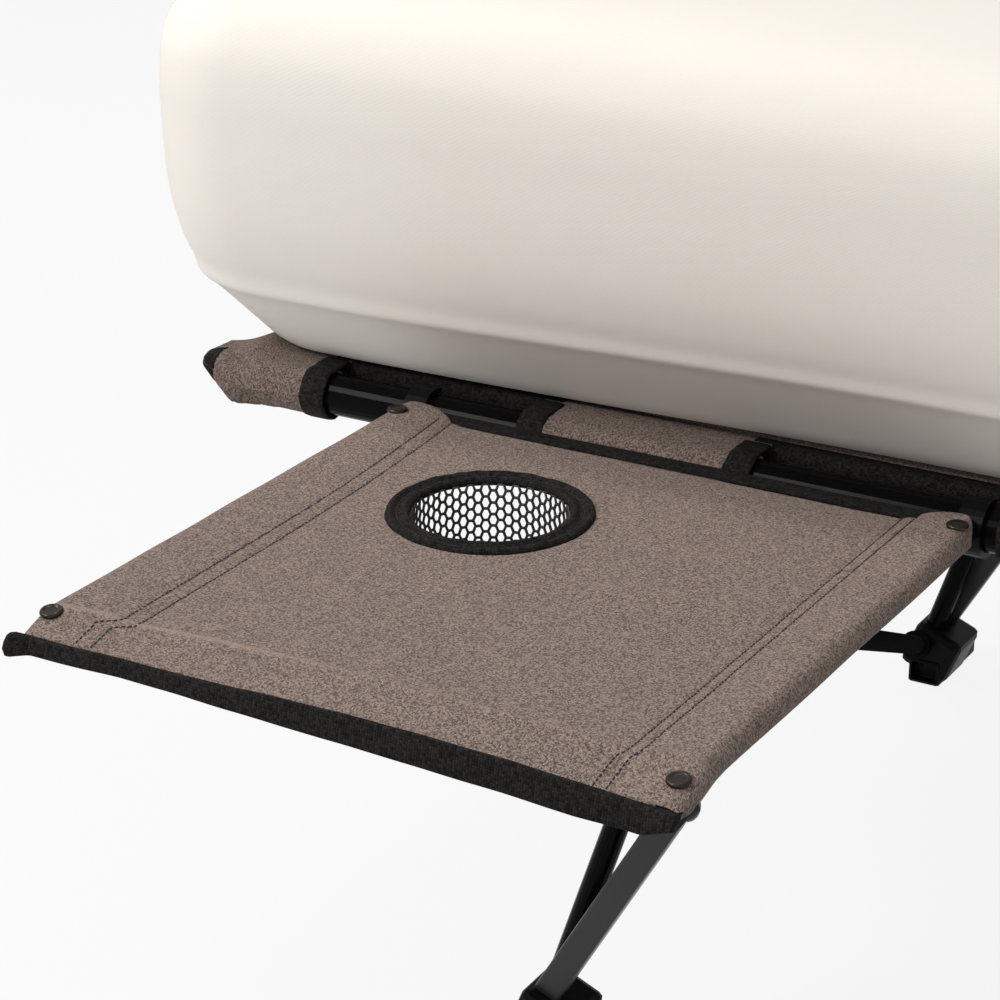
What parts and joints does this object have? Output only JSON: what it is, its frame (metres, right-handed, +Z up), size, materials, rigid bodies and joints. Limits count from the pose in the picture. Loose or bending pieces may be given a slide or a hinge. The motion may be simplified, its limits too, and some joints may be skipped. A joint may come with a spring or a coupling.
{
  "type": "airbed cot",
  "caption": "Folding camp bed frame with a fabric deck, a tall air mattress on top and a fold-up fabric side table with a net cup holder.",
  "frame": {"origin": "middle of the floor rectangle that the whole cot covers, side table included", "axes": "+X along the bed towards the foot end, +Y across the bed away from the side table, +Z up"},
  "size_m": [2.05, 1.2056, 0.7652],
  "materials": {
    "coated_steel": "satin black powder coat",
    "zinc_pin": "dull zinc",
    "black_plastic": "moulded, matt",
    "gloss_plastic": "moulded, glossy",
    "taupe_canvas": "plain woven polyester",
    "black_webbing": "woven tape",
    "black_net": "knitted net",
    "dark_snap": "dark plated",
    "cream_cover": "soft knitted cover"
  },
  "bodies": {
    "frame": {"near_rail_head": "coated_steel", "near_rail_foot": "coated_steel", "far_rail_head": "coated_steel", "far_rail_foot": "coated_steel", "near_rail_joiner": "coated_steel", "far_rail_joiner": "coated_steel", "head_bow": "coated_steel", "foot_bow": "coated_steel", "near_head_bracket": "coated_steel", "near_head_pin": "zinc_pin", "near_foot_bracket": "coated_steel", "near_foot_pin": "zinc_pin", "far_head_bracket": "coated_steel", "far_head_pin": "zinc_pin", "far_foot_bracket": "coated_steel", "far_foot_pin": "zinc_pin", "deck_fabric": "taupe_canvas", "airbed": "cream_cover", "valve_seat": "black_plastic", "rail_stop_left": "coated_steel", "rail_stop_right": "coated_steel"},
    "valve_cap": {"valve_cap": "black_plastic"},
    "table": {"table_fabric": "taupe_canvas", "table_left_pole": "coated_steel", "table_right_pole": "coated_steel", "table_outer_bar": "coated_steel", "table_inner_bar": "coated_steel", "table_left_hook": "black_plastic", "table_right_hook": "black_plastic", "outer_bar_cap_left": "gloss_plastic", "outer_bar_cap_right": "gloss_plastic", "table_outer_binding": "black_webbing", "table_inner_strip": "black_webbing", "cup_ring": "black_webbing", "cup_net": "black_net", "snap_inner_left": "dark_snap", "snap_inner_right": "dark_snap", "snap_outer_left": "dark_snap", "snap_outer_right": "dark_snap"},
    "head_legs": {"near_head_leg": "coated_steel", "near_head_post": "coated_steel", "near_head_gusset": "coated_steel", "near_head_foot_block": "black_plastic", "far_head_leg": "coated_steel", "far_head_post": "coated_steel", "far_head_gusset": "coated_steel", "far_head_foot_block": "black_plastic", "head_spreader": "coated_steel", "head_diagonal": "coated_steel"},
    "foot_legs": {"near_foot_leg": "coated_steel", "near_foot_post": "coated_steel", "near_foot_gusset": "coated_steel", "near_foot_foot_block": "black_plastic", "far_foot_leg": "coated_steel", "far_foot_post": "coated_steel", "far_foot_gusset": "coated_steel", "far_foot_foot_block": "black_plastic", "foot_spreader": "coated_steel", "foot_diagonal": "coated_steel"}
  },
  "joints": [
    {"name": "head_legs_fold", "type": "hinge", "parent": "frame", "child": "head_legs", "pos_m": [-0.487, 0.1858, 0.433], "axis": [0, -1, 0], "range_deg": [0, 115]},
    {"name": "foot_legs_fold", "type": "hinge", "parent": "frame", "child": "foot_legs", "pos_m": [0.537, 0.1858, 0.433], "axis": [0, 1, 0], "range_deg": [0, 115]},
    {"name": "table_fold", "type": "hinge", "parent": "frame", "child": "table", "pos_m": [-0.60325, -0.1792, 0.468], "axis": [-1, 0, 0], "range_deg": [0, 50]},
    {"name": "valve_cap_open", "type": "hinge", "parent": "frame", "child": "valve_cap", "pos_m": [1.0245, 0.3858, 0.6295], "axis": [0, -1, 0], "range_deg": [0, 120]}
  ]
}
